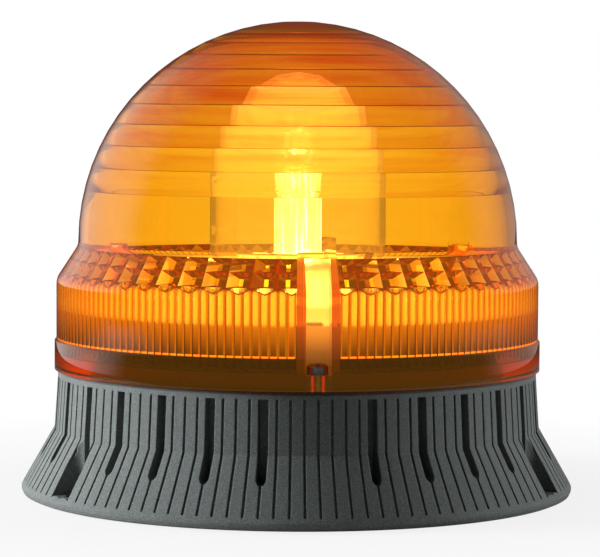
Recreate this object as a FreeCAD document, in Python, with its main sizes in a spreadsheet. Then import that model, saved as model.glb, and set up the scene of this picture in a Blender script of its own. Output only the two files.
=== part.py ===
"""Amber LED strobe beacon: domed lens with inner optics on a grey flared base.

Millimetres, +Z up, origin in the middle of the mounting face, lens screw at the front (-Y).
"""

import math
import os
import re

import FreeCAD
import Part
import Sketcher

SIZES = {
    # housing
    "land_radius": 65.2,
    "crease_out": 0.9,
    "flare_out": 8.9,
    "lip_height": 2.4,
    "lip_round": 1.3,
    "crease_height": 17.7,
    "land_height": 13.8,
    "rim_rise": 1.9,
    "rim_round": 0.8,
    "wall_thickness": 5.2,
    "floor_top": 5.0,
    "ledge_thickness": 3.0,
    "drum_gap": 4.0,
    "drum_wall": 2.6,
    "drum_rise": 15.6,
    "drum_round": 0.8,
    # housing details
    "groove_width": 0.65,
    "groove_depth": 0.8,
    "groove_low": 3.2,
    "slot_width": 2.6,
    "slot_depth": 2.8,
    "slot_drop": 19.8,
    "well_radius": 4.2,
    "well_floor": 3.5,
    "well_inset": 5.0,
    "mount_hole": 2.25,
    "boss_inset": 3.0,
    "boss_radius": 3.5,
    "pilot_radius": 1.25,
    "pilot_depth": 10.0,
    # seals and inlet
    "foot_seal_inset": 1.5,
    "foot_seal_width": 4.5,
    "foot_seal_depth": 1.5,
    "seal_inset": 0.8,
    "seal_width": 2.8,
    "seal_depth": 1.0,
    "seal_proud": 0.2,
    "seal_play": 0.2,
    "inlet_recess": 15.0,
    "inlet_depth": 2.5,
    "inlet_hole": 9.0,
    "inlet_bore": 4.0,
    "inlet_flange": 12.0,
    "inlet_play": 0.1,
    "inlet_face": 1.8,
    "inlet_chamfer": 1.0,
    "inlet_barb": 0.6,
    "inlet_barb_height": 0.8,
    "inlet_cone": 3.0,
    "inlet_rise": 2.0,
    # lens
    "rim_over": 0.9,
    "rim_height": 8.0,
    "rim_step": 0.4,
    "collar_inset": 0.5,
    "collar_height": 17.8,
    "corner_round": 2.0,
    "shoulder_run": 5.8,
    "shoulder_rise": 7.7,
    "dome_inset": 0.1,
    "dome_rise": 1.2,
    "lens_wall": 2.5,
    "flange_gap": 1.1,
    "flange_thickness": 4.0,
    "fresnel_first": 13.2,
    "fresnel_pitch": 6.4,
    "rib_wall": 3.0,
    "rib_depth": 0.8,
    "rib_gap": 1.7,
    "rib_foot": 0.2,
    "rib_head": 2.2,
    # lens screws
    "screw_inset": 3.0,
    "screw_radius": 1.5,
    "screw_reach": 7.4,
    "screw_head": 2.7,
    "head_height": 2.0,
    "head_round": 0.6,
    "recess_half": 1.5,
    "recess_width": 0.6,
    "recess_depth": 1.1,
    "washer_radius": 2.75,
    "washer_thickness": 0.6,
    "loose_fit": 0.3,
    "thread_play": 0.05,
    "insert_radius": 2.0,
    "insert_length": 8.9,
    "channel_width": 6.4,
    "channel_depth": 3.1,
    "channel_wall": 2.0,
    "channel_cover": 0.7,
    # driver board
    "board_gap": 14.0,
    "board_rise": 9.0,
    "board_thickness": 1.6,
    "post_inset": 6.0,
    "post_radius": 3.0,
    "small_screw": 1.2,
    "small_hole": 1.6,
    "small_head": 2.6,
    "small_head_height": 1.8,
    "small_head_round": 0.6,
    "board_screw_length": 6.0,
    "plate_screw_length": 9.0,
    # what stands on the driver board
    "terminal_half": 9.0,
    "terminal_front": 24.0,
    "terminal_back": 34.0,
    "terminal_height": 11.0,
    "terminal_pitch": 6.0,
    "mouth_half": 1.8,
    "mouth_low": 2.5,
    "mouth_height": 3.6,
    "mouth_front": 20.0,
    "mouth_back": 29.0,
    "clamp_line": 29.5,
    "clamp_hole": 1.9,
    "clamp_depth": 3.0,
    "clamp_screw": 1.7,
    "clamp_screw_height": 2.2,
    "capacitor_radius": 8.0,
    "capacitor_round": 0.8,
    "capacitor_height": 22.0,
    "capacitor_circle": 25.3,
    "choke_radius": 8.0,
    "choke_waist": 6.6,
    "choke_flange": 1.6,
    "choke_height": 10.6,
    "choke_circle": 26.0,
    "bridge_left": -32.0,
    "bridge_right": -17.0,
    "bridge_front": 8.0,
    "bridge_back": 13.0,
    "bridge_height": 12.0,
    "fuse_across": -15.0,
    "fuse_along": 22.0,
    "fuse_radius": 4.2,
    "fuse_height": 8.0,
    "chip_half": 5.0,
    "chip_front": -22.0,
    "chip_back": -17.0,
    "chip_height": 1.8,
    "chip_gap": 0.2,
    "leg_half": 0.3,
    "leg_reach": 1.0,
    "leg_height": 0.9,
    "leg_overlap": 0.1,
    "package_left": 20.0,
    "package_right": 30.0,
    "package_front": 8.0,
    "package_back": 12.4,
    "package_height": 9.0,
    "tab_thickness": 1.2,
    "tab_height": 15.5,
    # light unit
    "plate_drop": 2.5,
    "plate_thickness": 1.5,
    "plate_play": 0.4,
    "sink_radius": 17.0,
    "sink_core": 10.0,
    "sink_height": 13.0,
    "sink_head": 2.0,
    "fin_width": 1.4,
    "fin_inset": 0.4,
    "emitter_board": 1.4,
    "emitter_half": 3.5,
    "emitter_height": 0.9,
    "small_emitter_half": 1.5,
    "small_emitter_height": 0.8,
    "small_emitter_near": 9.6,
    "small_emitter_far": 12.6,
    "tube_radius": 6.5,
    "tube_wall": 1.0,
    "tube_length": 28.0,
    "cover_radius": 24.0,
    "cover_wall": 1.5,
    "cover_height": 60.0,
    "cover_foot": 4.0,
    "cover_lip": 2.0,
    "clamp_out": 7.0,
    "clamp_height": 4.0,
    "lead_radius": 0.7,
    "lead_out": 3.0,
    "lead_inset": 2.0,
    "lead_spread": 3.0,
    "lead_play": 0.4,
}

DERIVED = {
    "crease_radius": "land_radius + crease_out",
    "lip_radius": "crease_radius + flare_out",
    "land_top": "crease_height + land_height",
    "ledge_height": "land_top + rim_rise",
    "wall_radius": "land_radius - wall_thickness",
    "drum_radius": "wall_radius - drum_gap",
    "drum_inner": "drum_radius - drum_wall",
    "drum_top": "ledge_height + drum_rise",
    "slot_floor": "land_radius - slot_depth",
    "slot_low": "land_top - slot_drop",
    "mount_circle": "lip_radius - well_inset",
    "boss_circle": "drum_inner - boss_inset",
    "foot_seal_outer": "wall_radius - foot_seal_inset",
    "foot_seal_inner": "foot_seal_outer - foot_seal_width",
    "seal_inner": "drum_radius + seal_inset",
    "seal_outer": "seal_inner + seal_width",
    "rim_radius": "land_radius + rim_over",
    "rim_top": "ledge_height + rim_height",
    "collar_radius": "rim_radius - collar_inset",
    "collar_top": "rim_top + collar_height",
    "shoulder_radius": "collar_radius - shoulder_run",
    "shoulder_top": "collar_top + shoulder_rise",
    "dome_radius": "shoulder_radius - dome_inset",
    "dome_centre": "shoulder_top + dome_rise",
    "flange_inner": "drum_radius + flange_gap",
    "rib_crest": "collar_radius - rib_wall",
    "rib_low": "rim_top - rib_foot",
    "rib_high": "collar_top - rib_head",
    "screw_circle": "land_radius - screw_inset",
    "screw_low": "ledge_height - screw_reach",
    "insert_low": "ledge_height - insert_length",
    "channel_back": "screw_circle - channel_depth",
    "channel_top": "shoulder_top - channel_cover",
    "board_radius": "wall_radius - board_gap",
    "board_low": "floor_top + board_rise",
    "board_top": "board_low + board_thickness",
    "post_circle": "board_radius - post_inset",
    "plate_low": "drum_top - plate_drop",
    "plate_top": "plate_low + plate_thickness",
    "sink_top": "plate_top + sink_height",
    "tube_top": "sink_top + tube_length",
    "cover_top": "plate_top + cover_height",
    "cover_flange": "cover_radius + cover_foot",
    "clamp_radius": "cover_radius + clamp_out",
    "lead_circle": "sink_radius + lead_out",
    "lead_end": "sink_radius - lead_inset",
}

SLOT_PITCH = 12.0
RIB_PITCH = 2.0
FRONT = -90.0
THIRDS = (FRONT, FRONT + 120.0, FRONT + 240.0)

doc = FreeCAD.newDocument("Beacon")
sheet = doc.addObject("Spreadsheet::Sheet", "Dims")
for row, (name, size) in enumerate(SIZES.items(), start=1):
    sheet.set(f"A{row}", name)
    sheet.set(f"B{row}", str(size))
    sheet.setAlias(f"B{row}", name)
doc.recompute()

parts = []


def bound(text):
    """An expression in which each size is read from the sheet."""
    return re.sub(r"[a-z_]+", lambda found: bound_name(found[0]), text)


def bound_name(name):
    if name in DERIVED:
        return f"({bound(DERIVED[name])})"
    return "Dims." + name if name in SIZES else name


def value(text):
    """The present value of an expression of sizes."""
    result = sheet.evalExpression(bound(text))
    return float(getattr(result, "Value", result))


def new_body(label):
    body = doc.addObject("PartDesign::Body", label)
    body.Label = label
    parts.append(body)
    return body


def datum(body, role):
    return next(item for item in body.Origin.OriginFeatures if item.Role == role)


def flat_sketch(body, height="0", turn=0.0):
    """A horizontal sketch at a height, turned about the axis."""
    sketch = body.newObject("Sketcher::SketchObject", "Plan")
    sketch.AttachmentSupport = (datum(body, "XY_Plane"), [""])
    sketch.MapMode = "FlatFace"
    spin = FreeCAD.Rotation(FreeCAD.Vector(0, 0, 1), turn)
    sketch.AttachmentOffset = FreeCAD.Placement(FreeCAD.Vector(), spin)
    sketch.setExpression(".AttachmentOffset.Base.z", bound(height))
    return sketch


def side_sketch(body, turn=0.0, circle="0"):
    """An upright sketch through a line at a radius and azimuth: x outward, y up."""
    sketch = body.newObject("Sketcher::SketchObject", "Section")
    sketch.AttachmentSupport = (datum(body, "XZ_Plane"), [""])
    sketch.MapMode = "FlatFace"
    spin = FreeCAD.Rotation(FreeCAD.Vector(0, 1, 0), turn)
    sketch.AttachmentOffset = FreeCAD.Placement(FreeCAD.Vector(), spin)
    if circle != "0":
        sketch.setExpression(".AttachmentOffset.Base.x", bound(f"{circle} * cos({turn} deg)"))
        sketch.setExpression(".AttachmentOffset.Base.z", bound(f"-{circle} * sin({turn} deg)"))
    return sketch


def facing_sketch(body, turn, away):
    """An upright sketch that faces outward at a distance from the axis: x across, y up."""
    sketch = body.newObject("Sketcher::SketchObject", "Face")
    sketch.AttachmentSupport = (datum(body, "YZ_Plane"), [""])
    sketch.MapMode = "FlatFace"
    spin = FreeCAD.Rotation(FreeCAD.Vector(0, 1, 0), turn)
    sketch.AttachmentOffset = FreeCAD.Placement(FreeCAD.Vector(), spin)
    sketch.setExpression(".AttachmentOffset.Base.z", bound(f"({away}) * cos({turn} deg)"))
    sketch.setExpression(".AttachmentOffset.Base.x", bound(f"({away}) * sin({turn} deg)"))
    return sketch


def tie(sketch, kind, refs, text):
    """A sketch distance that follows an expression of sizes."""
    index = sketch.addConstraint(Sketcher.Constraint(kind, *refs, value(text)))
    sketch.setExpression(f"Constraints[{index}]", bound(text))


def locate(sketch, curve, end, x, y):
    """Ties one point of a curve to a place in the sketch."""
    for kind, axis, text in (("DistanceX", -2, x), ("DistanceY", -1, y)):
        size = value(text)
        if abs(size) < 1e-9:
            sketch.addConstraint(Sketcher.Constraint("PointOnObject", curve, end, axis))
        elif size > 0:
            tie(sketch, kind, (-1, 1, curve, end), text)
        else:
            tie(sketch, kind, (curve, end, -1, 1), f"-({text})")


def outline(sketch, points, arcs=None):
    """A closed outline; arcs maps a side's number to its centre and radius.

    A half circle has no radius of its own and runs on smoothly from the side before it.
    """
    arcs = arcs or {}
    spots = [FreeCAD.Vector(value(x), value(y), 0) for x, y in points]
    ends = []
    for side, start in enumerate(spots):
        stop = spots[(side + 1) % len(spots)]
        if side not in arcs:
            sketch.addGeometry(Part.LineSegment(start, stop))
            ends.append((1, 2))
            continue
        centre = FreeCAD.Vector(value(arcs[side][0]), value(arcs[side][1]), 0)
        forward = (start - centre).cross(stop - centre).z > -1e-6
        first, last = (start, stop) if forward else (stop, start)
        angles = [math.atan2(p.y - centre.y, p.x - centre.x) for p in (first, last)]
        circle = Part.Circle(centre, FreeCAD.Vector(0, 0, 1), (start - centre).Length)
        sketch.addGeometry(Part.ArcOfCircle(circle, *angles))
        ends.append((1, 2) if forward else (2, 1))
    for side in range(len(spots)):
        after = (side + 1) % len(spots)
        joint = (side, ends[side][1], after, ends[after][0])
        kind = "Tangent" if after in arcs and arcs[after][2] is None else "Coincident"
        sketch.addConstraint(Sketcher.Constraint(kind, *joint))
    for side, (x, y) in enumerate(points):
        locate(sketch, side, ends[side][0], x, y)
    for side, (_, _, radius) in arcs.items():
        if radius is not None:
            tie(sketch, "Radius", (side,), radius)
    return sketch


def box_outline(sketch, left, right, low, high):
    return outline(sketch, [(left, low), (right, low), (right, high), (left, high)])


def disc_outline(sketch, x, y, radius):
    centre = FreeCAD.Vector(value(x), value(y), 0)
    curve = sketch.addGeometry(Part.Circle(centre, FreeCAD.Vector(0, 0, 1), value(radius)))
    locate(sketch, curve, 3, x, y)
    tie(sketch, "Radius", (curve,), radius)
    return sketch


def extrude(body, sketch, length, kind="Pad", reverse=False, both=False):
    feature = body.newObject("PartDesign::" + kind, kind)
    feature.Profile = sketch
    feature.setExpression("Length", bound(length))
    feature.Reversed = reverse
    if both:
        feature.SideType = "Symmetric"
    return feature


def cut_up(body, sketch, length):
    return extrude(body, sketch, length, "Pocket", reverse=True)


def revolve(body, sketch, angle=360.0, kind="Revolution"):
    feature = body.newObject("PartDesign::" + kind, kind)
    feature.Profile = sketch
    feature.ReferenceAxis = (sketch, ["V_Axis"])
    feature.Angle = angle
    feature.Midplane = angle < 360.0
    return feature


def around(body, features, count, angle=360.0):
    """Repeats features about the axis."""
    pattern = body.newObject("PartDesign::PolarPattern", "Around")
    pattern.Originals = features
    pattern.Axis = (datum(body, "Z_Axis"), [""])
    pattern.Angle = angle
    pattern.Occurrences = count
    body.Tip = pattern
    doc.recompute()
    return pattern


def turned(label, points, arcs=None, turn=0.0, circle="0"):
    """A turned piece about the axis, or about an upright line at a radius."""
    body = new_body(label)
    revolve(body, outline(side_sketch(body, turn, circle), points, arcs))
    return body


def base_housing():
    body = new_body("base_housing")
    section = [
        ("inlet_hole", "inlet_depth"),
        ("inlet_recess", "inlet_depth"),
        ("inlet_recess", "0"),
        ("foot_seal_inner", "0"),
        ("foot_seal_inner", "foot_seal_depth"),
        ("foot_seal_outer", "foot_seal_depth"),
        ("foot_seal_outer", "0"),
        ("lip_radius - lip_round", "0"),
        ("lip_radius - lip_round * 0.3", "lip_round * 0.3"),
        ("lip_radius", "lip_round"),
        ("lip_radius", "lip_height - lip_round * 0.3"),
        ("lip_radius - lip_round * 0.3", "lip_height + lip_round * 0.3"),
        ("crease_radius", "crease_height"),
        ("land_radius", "land_top"),
        ("land_radius", "ledge_height - rim_round"),
        ("land_radius - rim_round", "ledge_height"),
        ("seal_outer", "ledge_height"),
        ("seal_outer", "ledge_height - seal_depth"),
        ("seal_inner", "ledge_height - seal_depth"),
        ("seal_inner", "ledge_height"),
        ("drum_radius", "ledge_height"),
        ("drum_radius", "drum_top - drum_round"),
        ("drum_radius - drum_round", "drum_top"),
        ("drum_inner", "drum_top"),
        ("drum_inner", "ledge_height - ledge_thickness"),
        ("wall_radius", "ledge_height - ledge_thickness"),
        ("wall_radius", "floor_top"),
        ("inlet_hole", "floor_top"),
    ]
    revolve(body, outline(side_sketch(body), section))
    mounting_wells(body)
    plate_bosses(body)
    insert_holes(body)
    wide_slots(body)
    thin_grooves(body)
    return body


def mounting_wells(body):
    """Three round-backed wells through the flare, each with a screw hole in its floor."""
    plan = flat_sketch(body, "well_floor", FRONT + 180.0)
    well = [
        ("mount_circle", "-well_radius"),
        ("lip_radius + 5", "-well_radius"),
        ("lip_radius + 5", "well_radius"),
        ("mount_circle", "well_radius"),
    ]
    outline(plan, well, {3: ("mount_circle", "0", None)})
    cut = cut_up(body, plan, "drum_top")
    drill = disc_outline(flat_sketch(body, "0", FRONT + 180.0), "mount_circle", "0", "mount_hole")
    hole = cut_up(body, drill, "well_floor + 1")
    around(body, [cut, hole], 3)


def plate_bosses(body):
    """Three posts with pilot holes that carry the reflector plate."""
    plan = disc_outline(flat_sketch(body, "floor_top - 1", FRONT), "boss_circle", "0", "boss_radius")
    post = extrude(body, plan, "plate_low - floor_top + 1")
    top = disc_outline(flat_sketch(body, "plate_low", FRONT), "boss_circle", "0", "pilot_radius")
    pilot = extrude(body, top, "pilot_depth", "Pocket")
    around(body, [post, pilot], 3)


def insert_holes(body):
    """Seats of the three brass inserts in the lens ledge."""
    plan = flat_sketch(body, "ledge_height", FRONT)
    disc_outline(plan, "screw_circle", "0", "insert_radius + thread_play")
    seat = extrude(body, plan, "ledge_height - insert_low", "Pocket")
    around(body, [seat], 3)


def wide_slots(body):
    """Upright slots with rounded-off lower ends, nine between each two lens screws."""
    sides = [
        ("slot_width / 2", "slot_low"),
        ("slot_width / 2", "land_top"),
        ("-slot_width / 2", "land_top"),
        ("-slot_width / 2", "slot_low"),
        ("-slot_width * 0.25", "slot_low - slot_width * 0.43"),
        ("slot_width * 0.25", "slot_low - slot_width * 0.43"),
    ]
    for third in THIRDS:
        sketch = outline(facing_sketch(body, third + SLOT_PITCH, "slot_floor"), sides)
        slot = cut_up(body, sketch, "lip_radius - slot_floor")
        around(body, [slot], 9, 8 * SLOT_PITCH)


def thin_grooves(body):
    """Narrow grooves all round the wall and the flare."""
    slope = "(lip_radius - crease_radius) / (crease_height - lip_height)"
    low = f"(lip_radius - (groove_low - lip_height) * {slope})"
    blade = [
        ("land_radius - groove_depth", "land_top"),
        ("crease_radius - groove_depth", "crease_height"),
        (low + " - groove_depth", "groove_low"),
        ("lip_radius + 1", "groove_low"),
        ("lip_radius + 1", "land_top"),
    ]
    sketch = outline(side_sketch(body, FRONT), blade)
    groove = extrude(body, sketch, "groove_width", "Pocket", both=True)
    around(body, [groove], 120)


def foot_seal():
    play = "seal_play"
    section = [
        (f"foot_seal_inner + {play}", "0"),
        (f"foot_seal_outer - {play}", "0"),
        (f"foot_seal_outer - {play}", "foot_seal_depth"),
        (f"foot_seal_inner + {play}", "foot_seal_depth"),
    ]
    turned("mounting_gasket", section)


def cable_inlet():
    section = [
        ("inlet_bore", "inlet_depth - inlet_face"),
        ("inlet_flange - inlet_chamfer", "inlet_depth - inlet_face"),
        ("inlet_flange", "inlet_depth - inlet_face + inlet_chamfer"),
        ("inlet_flange", "inlet_depth"),
        ("inlet_hole - inlet_play", "inlet_depth"),
        ("inlet_hole - inlet_play", "floor_top"),
        ("inlet_flange - inlet_barb", "floor_top"),
        ("inlet_flange - inlet_barb", "floor_top + inlet_barb_height"),
        ("inlet_flange - inlet_cone", "floor_top + inlet_rise"),
        ("inlet_bore", "floor_top + inlet_rise"),
    ]
    turned("cable_grommet", section)


def lens_seal():
    section = [
        ("seal_inner + seal_play", "ledge_height - seal_depth"),
        ("seal_outer - seal_play", "ledge_height - seal_depth"),
        ("seal_outer - seal_play", "ledge_height + seal_proud"),
        ("seal_inner + seal_play", "ledge_height + seal_proud"),
    ]
    turned("lens_gasket", section)


def screw_inserts():
    section = [
        ("screw_radius + thread_play", "insert_low"),
        ("insert_radius", "insert_low"),
        ("insert_radius", "ledge_height"),
        ("screw_radius + thread_play", "ledge_height"),
    ]
    body = turned("screw_inserts", section, turn=FRONT, circle="screw_circle")
    around(body, [body.Tip], 3)


def lens():
    body = new_body("lens")
    floor = "ledge_height + seal_proud"
    flange_top = f"{floor} + flange_thickness"
    shell = [
        ("flange_inner", floor),
        ("rim_radius", floor),
        ("rim_radius", "rim_top"),
        ("collar_radius", "rim_top + rim_step"),
        ("collar_radius", "collar_top - corner_round"),
        ("collar_radius - corner_round * 0.1", "collar_top - corner_round * 0.5"),
        ("collar_radius - corner_round * 0.45", "collar_top + corner_round * 0.1"),
        ("shoulder_radius", "shoulder_top"),
    ]
    shell += dome_curve("dome_radius", "dome_centre", 12)
    shell += fresnel_steps("(dome_radius - lens_wall)")
    shell += [
        ("dome_radius - lens_wall", "dome_centre"),
        ("dome_radius - lens_wall", "shoulder_top - 1"),
        ("rib_crest", "rib_high + 0.6"),
        ("rib_crest", flange_top),
        ("flange_inner", flange_top),
    ]
    revolve(body, outline(side_sketch(body), shell))
    screw_channels(body, floor, flange_top)
    lens_ribs(body)
    return body


def dome_curve(radius, centre, count):
    """Points up a quarter circle to the axis, in short straight runs."""
    points = []
    for step in range(count):
        angle = f"{90.0 * step / count} deg"
        points.append((f"{radius} * cos({angle})", f"{centre} + {radius} * sin({angle})"))
    return points + [("0", f"{centre} + {radius}")]


def fresnel_steps(inner):
    """The stepped inside of the dome from the axis outward: upright facets and level ledges."""
    count = 10
    facets = []
    ledges = []
    for ring in range(count + 1):
        edge = f"(fresnel_first + {ring} * fresnel_pitch) * 1 deg"
        middle = f"(fresnel_first + {ring + 0.5} * fresnel_pitch) * 1 deg"
        ledges.append(f"dome_centre + {inner} * sin({edge})")
        facets.append(f"{inner} * cos({middle})")
    points = [("0", ledges[count])]
    for ring in reversed(range(count)):
        points.append((facets[ring], ledges[ring + 1]))
        points.append((facets[ring], ledges[ring]))
    return points + [(f"{inner} * cos(fresnel_first * 1 deg)", ledges[0])]


def screw_channels(body, floor, flange_top):
    """Three recesses in the collar, each with walls, a floor and a screw hole."""
    wall = [
        ("flange_inner", floor),
        ("rib_crest + 1", floor),
        ("rib_crest + 1", "collar_top - 0.6"),
        ("dome_radius - lens_wall / 2", "shoulder_top - 1.4"),
        ("flange_inner", "shoulder_top - 1.4"),
    ]
    spread = math.degrees(value("(channel_width / 2 + channel_wall) / screw_circle"))
    rise = revolve(body, outline(side_sketch(body, FRONT), wall), 2 * spread)
    plan = flat_sketch(body, flange_top, FRONT)
    box_outline(plan, "channel_back", "rim_radius + 3", "-channel_width / 2", "channel_width / 2")
    recess = cut_up(body, plan, f"channel_top - ({flange_top})")
    drill = flat_sketch(body, floor, FRONT)
    disc_outline(drill, "screw_circle", "0", "screw_radius + loose_fit")
    hole = cut_up(body, drill, "flange_thickness + 0.5")
    around(body, [rise, recess, hole], 3)


def lens_ribs(body):
    """Upright ribs round the inside of the collar, left between narrow vee grooves."""
    count = 54
    vee = [
        ("rib_crest - 0.2", "-rib_gap / 2"),
        ("rib_crest + rib_depth", "0"),
        ("rib_crest - 0.2", "rib_gap / 2"),
    ]
    for third in THIRDS:
        plan = flat_sketch(body, "rib_low", third + 60.0 - RIB_PITCH * (count - 1) / 2)
        groove = cut_up(body, outline(plan, vee), "rib_high - rib_low")
        around(body, [groove], count, RIB_PITCH * (count - 1))


def lens_screws():
    """Captive screws, each with its washer, in the three lens channels."""
    seat = "ledge_height + seal_proud + flange_thickness"
    under = f"{seat} + washer_thickness"
    washer = [
        ("screw_radius + loose_fit", seat),
        ("washer_radius", seat),
        ("washer_radius", under),
        ("screw_radius + loose_fit", under),
    ]
    screw = [
        ("0", "screw_low"),
        ("screw_radius - 0.5", "screw_low"),
        ("screw_radius", "screw_low + 0.5"),
        ("screw_radius", under),
        ("screw_head", under),
        ("screw_head", f"{under} + head_height - head_round"),
        ("screw_head - head_round", f"{under} + head_height"),
        ("0", f"{under} + head_height"),
    ]
    for side, turn in zip(("front", "right", "left"), THIRDS):
        turned(f"screw_washer_{side}", washer, turn=turn, circle="screw_circle")
        body = turned(f"lens_screw_{side}", screw, turn=turn, circle="screw_circle")
        cross_recess(body, turn, f"{under} + head_height")


def cross_recess(body, turn, top):
    """A cross recess in a screw head."""
    for out, across in (("recess_half", "recess_width / 2"), ("recess_width / 2", "recess_half")):
        plan = flat_sketch(body, top, turn)
        box_outline(plan, f"screw_circle - {out}", f"screw_circle + {out}", f"-{across}", across)
        extrude(body, plan, "recess_depth", "Pocket")


def board_posts():
    body = new_body("standoffs")
    plan = disc_outline(flat_sketch(body, "floor_top", 45.0), "post_circle", "0", "post_radius")
    post = extrude(body, plan, "board_low - floor_top")
    top = flat_sketch(body, "board_low", 45.0)
    disc_outline(top, "post_circle", "0", "small_screw + thread_play")
    hole = extrude(body, top, "board_screw_length", "Pocket")
    around(body, [post, hole], 4)


def driver_board():
    body = new_body("driver_board")
    disc = disc_outline(flat_sketch(body, "board_low"), "0", "0", "board_radius")
    extrude(body, disc, "board_thickness")
    plan = disc_outline(flat_sketch(body, "board_low", 45.0), "post_circle", "0", "small_hole")
    hole = cut_up(body, plan, "board_thickness + 1")
    around(body, [hole], 4)


def small_screws(label, top, shank, circle, turn, count):
    """A ring of small pan head screws with their heads on a surface."""
    section = [
        ("0", f"{top} - {shank}"),
        ("small_screw", f"{top} - {shank}"),
        ("small_screw", top),
        ("small_head", top),
        ("small_head", f"{top} + small_head_height - small_head_round"),
        ("small_head - small_head_round", f"{top} + small_head_height"),
        ("0", f"{top} + small_head_height"),
    ]
    body = turned(label, section, turn=turn, circle=circle)
    around(body, [body.Tip], count)


def block(label, left, right, front, back, height, low="board_top"):
    """A box standing on the driver board."""
    body = new_body(label)
    extrude(body, box_outline(flat_sketch(body, low), left, right, front, back), height)
    return body


def can(label, x, y, radius, height):
    """A round component standing on the driver board."""
    body = new_body(label)
    extrude(body, disc_outline(flat_sketch(body, "board_top"), x, y, radius), height)
    return body


def terminal_clamp():
    sides = ("-terminal_half", "terminal_half", "terminal_front", "terminal_back")
    body = block("terminal_block", *sides, "terminal_height")
    poles = ("-terminal_pitch", "0", "terminal_pitch")
    for pole in poles:
        mouth = flat_sketch(body, "board_top + mouth_low")
        box_outline(mouth, f"{pole} - mouth_half", f"{pole} + mouth_half", "mouth_front", "mouth_back")
        cut_up(body, mouth, "mouth_height")
        top = flat_sketch(body, "board_top + terminal_height")
        extrude(body, disc_outline(top, pole, "clamp_line", "clamp_hole"), "clamp_depth", "Pocket")
    screws = new_body("terminal_screws")
    screws.AllowCompound = True
    for pole in poles:
        seat = flat_sketch(screws, "board_top + terminal_height - clamp_depth")
        extrude(screws, disc_outline(seat, pole, "clamp_line", "clamp_screw"), "clamp_screw_height")


def board_parts():
    """What stands on the driver board."""
    sleeve = [
        ("0", "board_top"),
        ("capacitor_radius", "board_top"),
        ("capacitor_radius", "board_top + capacitor_height - capacitor_round"),
        ("capacitor_radius - capacitor_round", "board_top + capacitor_height"),
        ("0", "board_top + capacitor_height"),
    ]
    turned("bulk_capacitor", sleeve, turn=-161.6, circle="capacitor_circle")
    drum = [
        ("0", "board_top"),
        ("choke_radius", "board_top"),
        ("choke_radius", "board_top + choke_flange"),
        ("choke_waist", "board_top + choke_flange"),
        ("choke_waist", "board_top + choke_height - choke_flange"),
        ("choke_radius", "board_top + choke_height - choke_flange"),
        ("choke_radius", "board_top + choke_height"),
        ("0", "board_top + choke_height"),
    ]
    turned("choke", drum, turn=-50.0, circle="choke_circle")
    block("bridge_rectifier", "bridge_left", "bridge_right", "bridge_front", "bridge_back", "bridge_height")
    can("fuse", "fuse_across", "fuse_along", "fuse_radius", "fuse_height")
    controller_chip()
    power_transistor()


def controller_chip():
    """A flat chip with bent legs along both sides."""
    sides = ("-chip_half", "chip_half", "chip_front", "chip_back")
    body = block("controller_chip", *sides, "chip_height", "board_top + chip_gap")
    rows = (
        ("chip_front - leg_reach - leg_overlap", "chip_front + leg_overlap"),
        ("chip_back - leg_overlap", "chip_back + leg_reach + leg_overlap"),
    )
    for near, far in rows:
        for leg in ("-3.8", "-1.3", "1.3", "3.8"):
            plan = flat_sketch(body, "board_top")
            box_outline(plan, f"{leg} - leg_half", f"{leg} + leg_half", near, far)
            extrude(body, plan, "leg_height")


def power_transistor():
    """A tabbed package standing on edge."""
    sides = ("package_left", "package_right", "package_front", "package_back")
    body = block("power_transistor", *sides, "package_height")
    tab = flat_sketch(body, "board_top")
    box_outline(tab, "package_left", "package_right", "package_back - tab_thickness", "package_back")
    extrude(body, tab, "tab_height")


def reflector_plate():
    body = new_body("reflector_plate")
    disc = disc_outline(flat_sketch(body, "plate_low"), "0", "0", "drum_inner - plate_play")
    extrude(body, disc, "plate_thickness")
    plan = disc_outline(flat_sketch(body, "plate_low", FRONT), "boss_circle", "0", "small_hole")
    hole = cut_up(body, plan, "plate_thickness + 1")
    around(body, [hole], 3)
    for spread in ("lead_spread", "-lead_spread"):
        plan = flat_sketch(body, "plate_low")
        hole = disc_outline(plan, "lead_circle", spread, "lead_radius + lead_play")
        cut_up(body, hole, "plate_thickness + 1")


def heat_sink():
    """A core with upright fins under a round head."""
    body = new_body("heat_sink")
    low = "plate_top"
    extrude(body, disc_outline(flat_sketch(body, low), "0", "0", "sink_core"), f"sink_top - ({low})")
    head = disc_outline(flat_sketch(body, "sink_top - sink_head"), "0", "0", "sink_radius")
    extrude(body, head, "sink_head")
    plan = flat_sketch(body, low)
    box_outline(plan, "sink_core - 1", "sink_radius - fin_inset", "-fin_width / 2", "fin_width / 2")
    fin = extrude(body, plan, f"sink_top - 1 - ({low})")
    around(body, [fin], 16)


def emitter_board():
    body = new_body("led_board")
    extrude(body, disc_outline(flat_sketch(body, "sink_top"), "0", "0", "sink_radius"), "emitter_board")
    emitters = new_body("led_emitters")
    emitters.AllowCompound = True
    level = "sink_top + emitter_board"
    plan = flat_sketch(emitters, level)
    box_outline(plan, "-emitter_half", "emitter_half", "-emitter_half", "emitter_half")
    extrude(emitters, plan, "emitter_height")
    plan = flat_sketch(emitters, level, 22.5)
    sides = ("small_emitter_near", "small_emitter_far", "-small_emitter_half", "small_emitter_half")
    small = extrude(emitters, box_outline(plan, *sides), "small_emitter_height")
    around(emitters, [small], 8)


def light_tube():
    """A clear tube with a rounded end over the middle emitter."""
    low = "sink_top + emitter_board"
    bore = "(tube_radius - tube_wall)"
    section = [(bore, low), ("tube_radius", low)]
    section += dome_curve("tube_radius", "tube_top - tube_radius", 4)
    section += dome_curve(bore, "tube_top - tube_radius", 4)[::-1]
    turned("light_tube", section)


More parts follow.
